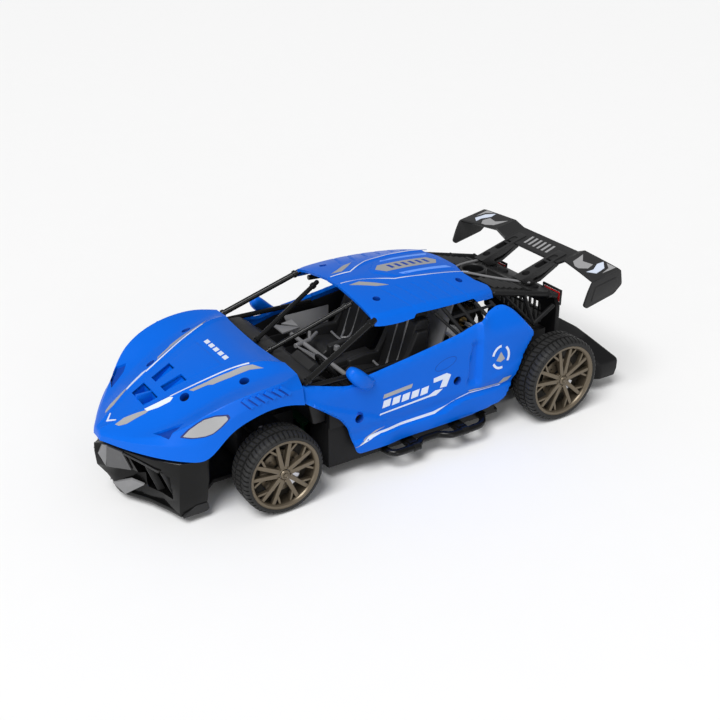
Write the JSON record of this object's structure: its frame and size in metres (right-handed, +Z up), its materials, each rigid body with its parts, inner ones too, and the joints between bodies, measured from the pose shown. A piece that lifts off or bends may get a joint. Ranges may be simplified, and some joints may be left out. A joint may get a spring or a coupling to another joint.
{
  "type": "remote control car",
  "caption": "Remote control racing car with an open tube cage, low panelled body, steered front wheels, driven rear axle and a raised rear wing.",
  "frame": {"origin": "on the ground, below the middle of the outer box", "axes": "+X forward towards the nose, +Y to the car's left, +Z up; the wheels turn about Y"},
  "size_m": [0.2879, 0.119, 0.0845],
  "materials": {
    "body_blue": "satin moulded plastic",
    "black_plastic": "fine matt texture",
    "gloss_black": "glossy",
    "grey_plastic": "matt",
    "tyre_rubber": "matt rubber",
    "rim_bronze": "satin metallic bronze",
    "steel": "bright",
    "brass": "turned",
    "nylon_white": "natural nylon",
    "lamp_red": "clear red",
    "cell_wrap": "shrink sleeve",
    "board_green": "solder mask"
  },
  "bodies": {
    "chassis": {"chassis_tub": "black_plastic", "front_axle_frame": "black_plastic", "front_upper_arm": "black_plastic", "kingpins": "steel", "battery_cover": "black_plastic", "battery_pack": "cell_wrap", "chassis_screws": "steel", "circuit_board": "board_green", "switch_housing": "grey_plastic", "steering_servo": "black_plastic", "gearbox_case": "black_plastic", "gearbox_cover": "black_plastic", "idler_pin": "steel", "drive_motor": "steel", "axle_carriers": "black_plastic", "axle_bushes": "brass", "hood_shell": "body_blue", "roof_panel": "body_blue", "side_panel_left": "body_blue", "side_panel_right": "body_blue", "door_mirrors": "body_blue", "body_screws": "steel", "front_bumper": "gloss_black", "rear_bumper": "black_plastic", "rear_fascia": "black_plastic", "tail_lamps": "lamp_red", "rear_deck": "black_plastic", "rear_wing": "black_plastic", "side_step_left": "gloss_black", "side_step_right": "gloss_black", "cockpit_tray": "black_plastic", "dashboard": "black_plastic", "seats": "black_plastic", "roll_cage": "gloss_black", "window_nets": "black_plastic", "rear_braces": "black_plastic"},
    "switch_slider": {"switch_knob": "grey_plastic"},
    "trim": {"trim_lever": "black_plastic"},
    "horn": {"servo_horn": "nylon_white"},
    "steering_link": {"tie_rod": "black_plastic"},
    "hub_left": {"knuckle_left": "black_plastic", "stub_axle_left": "steel"},
    "hub_right": {"knuckle_right": "black_plastic", "stub_axle_right": "steel"},
    "wheel_front_left": {"tyre_front_left": "tyre_rubber", "rim_front_left": "rim_bronze", "wheel_cap_front_left": "rim_bronze"},
    "wheel_front_right": {"tyre_front_right": "tyre_rubber", "rim_front_right": "rim_bronze", "wheel_cap_front_right": "rim_bronze"},
    "rear_axle": {"rear_axle_shaft": "steel", "drive_gear": "nylon_white", "tyre_rear_left": "tyre_rubber", "tyre_rear_right": "tyre_rubber", "rim_rear_left": "rim_bronze", "rim_rear_right": "rim_bronze", "wheel_caps_rear": "rim_bronze"},
    "idler": {"idler_gear": "nylon_white"},
    "motor_rotor": {"motor_armature": "steel", "pinion_gear": "brass"}
  },
  "joints": [
    {"name": "rear_axle_spin", "type": "hinge", "parent": "chassis", "child": "rear_axle", "pos_m": [-0.093, 0, 0.0234], "axis": [0, 1, 0], "continuous": true},
    {"name": "idler_spin", "type": "hinge", "parent": "chassis", "child": "idler", "pos_m": [-0.08118, 0, 0.02776], "axis": [0, 1, 0], "continuous": true},
    {"name": "motor_spin", "type": "hinge", "parent": "chassis", "child": "motor_rotor", "pos_m": [-0.07, 0, 0.0234], "axis": [0, 1, 0], "continuous": true},
    {"name": "steer_left", "type": "hinge", "parent": "chassis", "child": "hub_left", "pos_m": [0.074, 0.034, 0.02], "axis": [0, 0, 1], "range_deg": [-22, 22]},
    {"name": "steer_right", "type": "hinge", "parent": "chassis", "child": "hub_right", "pos_m": [0.074, -0.034, 0.02], "axis": [0, 0, 1], "range_deg": [-22, 22]},
    {"name": "tie_rod_slide", "type": "slide", "parent": "chassis", "child": "steering_link", "axis": [0, 1, 0], "range_m": [-0.0043, 0.0043]},
    {"name": "servo_turn", "type": "hinge", "parent": "chassis", "child": "horn", "pos_m": [0.051, 0, 0.022], "axis": [0, 0, 1], "range_deg": [-21, 21]},
    {"name": "front_left_spin", "type": "hinge", "parent": "hub_left", "child": "wheel_front_left", "pos_m": [0.074, 0.05, 0.0208], "axis": [0, 1, 0], "continuous": true},
    {"name": "front_right_spin", "type": "hinge", "parent": "hub_right", "child": "wheel_front_right", "pos_m": [0.074, -0.05, 0.0208], "axis": [0, 1, 0], "continuous": true},
    {"name": "power_switch", "type": "slide", "parent": "chassis", "child": "switch_slider", "axis": [1, 0, 0], "range_m": [0, 0.004]},
    {"name": "trim_turn", "type": "hinge", "parent": "chassis", "child": "trim", "pos_m": [0.034, 0, 0.008], "axis": [0, 0, 1], "range_deg": [-15, 15]}
  ],
  "couplings": [
    {"joint": "idler_spin", "follows": "rear_axle_spin", "ratio": -2.5},
    {"joint": "motor_spin", "follows": "rear_axle_spin", "ratio": 7.5},
    {"joint": "steer_right", "follows": "steer_left", "ratio": 1},
    {"joint": "tie_rod_slide", "follows": "steer_left", "m_per_rad": -0.011},
    {"joint": "servo_turn", "follows": "steer_left", "ratio": -0.91667}
  ]
}
